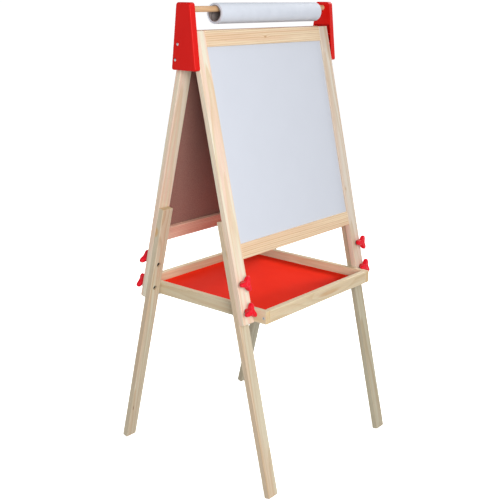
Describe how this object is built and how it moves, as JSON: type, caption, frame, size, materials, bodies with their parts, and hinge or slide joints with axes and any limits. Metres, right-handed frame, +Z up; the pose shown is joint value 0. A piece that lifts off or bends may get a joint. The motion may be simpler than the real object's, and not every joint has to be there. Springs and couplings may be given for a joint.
{
  "type": "children's double-sided easel",
  "caption": "Wooden A-frame easel for children with a whiteboard, a chalkboard, a lift-off tray, a paper roll between plastic end caps and bolted legs.",
  "frame": {"origin": "on the floor, midway between the four feet", "axes": "+X along the dowel towards the right-hand cap seen from the whiteboard side, -Y towards the person at the whiteboard, +Z up"},
  "size_m": [0.5968, 0.5526, 1.2426],
  "materials": {
    "pine": "planed and sanded pale pine, thin satin lacquer",
    "pine_rail": "planed and sanded yellow pine, thin satin lacquer",
    "hardwood_dowel": "turned hardwood, sanded",
    "whiteboard": "hardboard with a gloss white writing coat, bare brown back",
    "chalkboard": "hardboard with a matt black chalk coat, bare brown back",
    "red_board": "hardboard with satin red paint",
    "cap_plastic": "injection moulded, gloss red",
    "knob_plastic": "injection moulded, gloss crimson",
    "bush_plastic": "natural nylon",
    "steel": "bright zinc plated",
    "brass": "turned",
    "paper": "uncoated white drawing paper, tightly wound",
    "cardboard": "spiral wound grey board"
  },
  "bodies": {
    "rear_frame": {"rear_left_stile": "pine", "rear_right_stile": "pine", "rear_top_rail": "pine_rail", "rear_bottom_rail": "pine_rail", "chalkboard_panel": "chalkboard", "rear_left_leg": "pine", "rear_right_leg": "pine", "rear_frame_pins": "hardwood_dowel", "rear_leg_bolts": "steel", "rear_leg_washers": "steel", "rear_left_tray_peg": "steel", "rear_right_tray_peg": "steel", "left_cap": "cap_plastic", "right_cap": "cap_plastic", "cap_screws": "steel", "left_pivot_pin": "steel", "right_pivot_pin": "steel"},
    "front_frame": {"front_left_stile": "pine", "front_right_stile": "pine", "front_top_rail": "pine_rail", "front_bottom_rail": "pine_rail", "whiteboard_panel": "whiteboard", "front_left_leg": "pine", "front_right_leg": "pine", "front_frame_pins": "hardwood_dowel", "front_leg_bolts": "steel", "front_leg_washers": "steel", "front_left_tray_peg": "steel", "front_right_tray_peg": "steel", "left_pivot_bush": "bush_plastic", "right_pivot_bush": "bush_plastic"},
    "tray": {"tray_left_rail": "pine_rail", "tray_right_rail": "pine_rail", "tray_front_rail": "pine_rail", "tray_rear_rail": "pine_rail", "tray_panel": "red_board", "tray_screws": "steel"},
    "dowel": {"roll_dowel": "hardwood_dowel"},
    "roll": {"roll_core": "cardboard", "paper_roll": "paper"},
    "front_left_upper_knob": {"front_left_upper_knob": "knob_plastic", "front_left_upper_knob_insert": "brass"},
    "front_left_lower_knob": {"front_left_lower_knob": "knob_plastic", "front_left_lower_knob_insert": "brass"},
    "front_right_upper_knob": {"front_right_upper_knob": "knob_plastic", "front_right_upper_knob_insert": "brass"},
    "front_right_lower_knob": {"front_right_lower_knob": "knob_plastic", "front_right_lower_knob_insert": "brass"},
    "rear_left_upper_knob": {"rear_left_upper_knob": "knob_plastic", "rear_left_upper_knob_insert": "brass"},
    "rear_left_lower_knob": {"rear_left_lower_knob": "knob_plastic", "rear_left_lower_knob_insert": "brass"},
    "rear_right_upper_knob": {"rear_right_upper_knob": "knob_plastic", "rear_right_upper_knob_insert": "brass"},
    "rear_right_lower_knob": {"rear_right_lower_knob": "knob_plastic", "rear_right_lower_knob_insert": "brass"}
  },
  "joints": [
    {"name": "frame_fold", "type": "hinge", "parent": "rear_frame", "child": "front_frame", "pos_m": [0, -0.02132, 1.12753], "axis": [1, 0, 0], "range_deg": [0, 23.5]},
    {"name": "tray_lift", "type": "slide", "parent": "rear_frame", "child": "tray", "axis": [0, 0, 1], "range_m": [0, 0.09]},
    {"name": "dowel_spin", "type": "hinge", "parent": "rear_frame", "child": "dowel", "pos_m": [0, 0, 1.2263], "axis": [1, 0, 0], "continuous": true},
    {"name": "roll_spin", "type": "hinge", "parent": "rear_frame", "child": "roll", "pos_m": [0, 0, 1.2156], "axis": [1, 0, 0], "continuous": true},
    {"name": "front_left_upper_knob_turn", "type": "hinge", "parent": "front_frame", "child": "front_left_upper_knob", "pos_m": [-0.264, -0.17221, 0.56307], "axis": [0, -0.9736, 0.2284], "continuous": true},
    {"name": "front_left_lower_knob_turn", "type": "hinge", "parent": "front_frame", "child": "front_left_lower_knob", "pos_m": [-0.264, -0.18842, 0.49394], "axis": [0, -0.9736, 0.2284], "continuous": true},
    {"name": "front_right_upper_knob_turn", "type": "hinge", "parent": "front_frame", "child": "front_right_upper_knob", "pos_m": [0.264, -0.17221, 0.56307], "axis": [0, -0.9736, 0.2284], "continuous": true},
    {"name": "front_right_lower_knob_turn", "type": "hinge", "parent": "front_frame", "child": "front_right_lower_knob", "pos_m": [0.264, -0.18842, 0.49394], "axis": [0, -0.9736, 0.2284], "continuous": true},
    {"name": "rear_left_upper_knob_turn", "type": "hinge", "parent": "rear_frame", "child": "rear_left_upper_knob", "pos_m": [-0.264, 0.17221, 0.56307], "axis": [0, 0.9736, 0.2284], "continuous": true},
    {"name": "rear_left_lower_knob_turn", "type": "hinge", "parent": "rear_frame", "child": "rear_left_lower_knob", "pos_m": [-0.264, 0.18842, 0.49394], "axis": [0, 0.9736, 0.2284], "continuous": true},
    {"name": "rear_right_upper_knob_turn", "type": "hinge", "parent": "rear_frame", "child": "rear_right_upper_knob", "pos_m": [0.264, 0.17221, 0.56307], "axis": [0, 0.9736, 0.2284], "continuous": true},
    {"name": "rear_right_lower_knob_turn", "type": "hinge", "parent": "rear_frame", "child": "rear_right_lower_knob", "pos_m": [0.264, 0.18842, 0.49394], "axis": [0, 0.9736, 0.2284], "continuous": true}
  ]
}
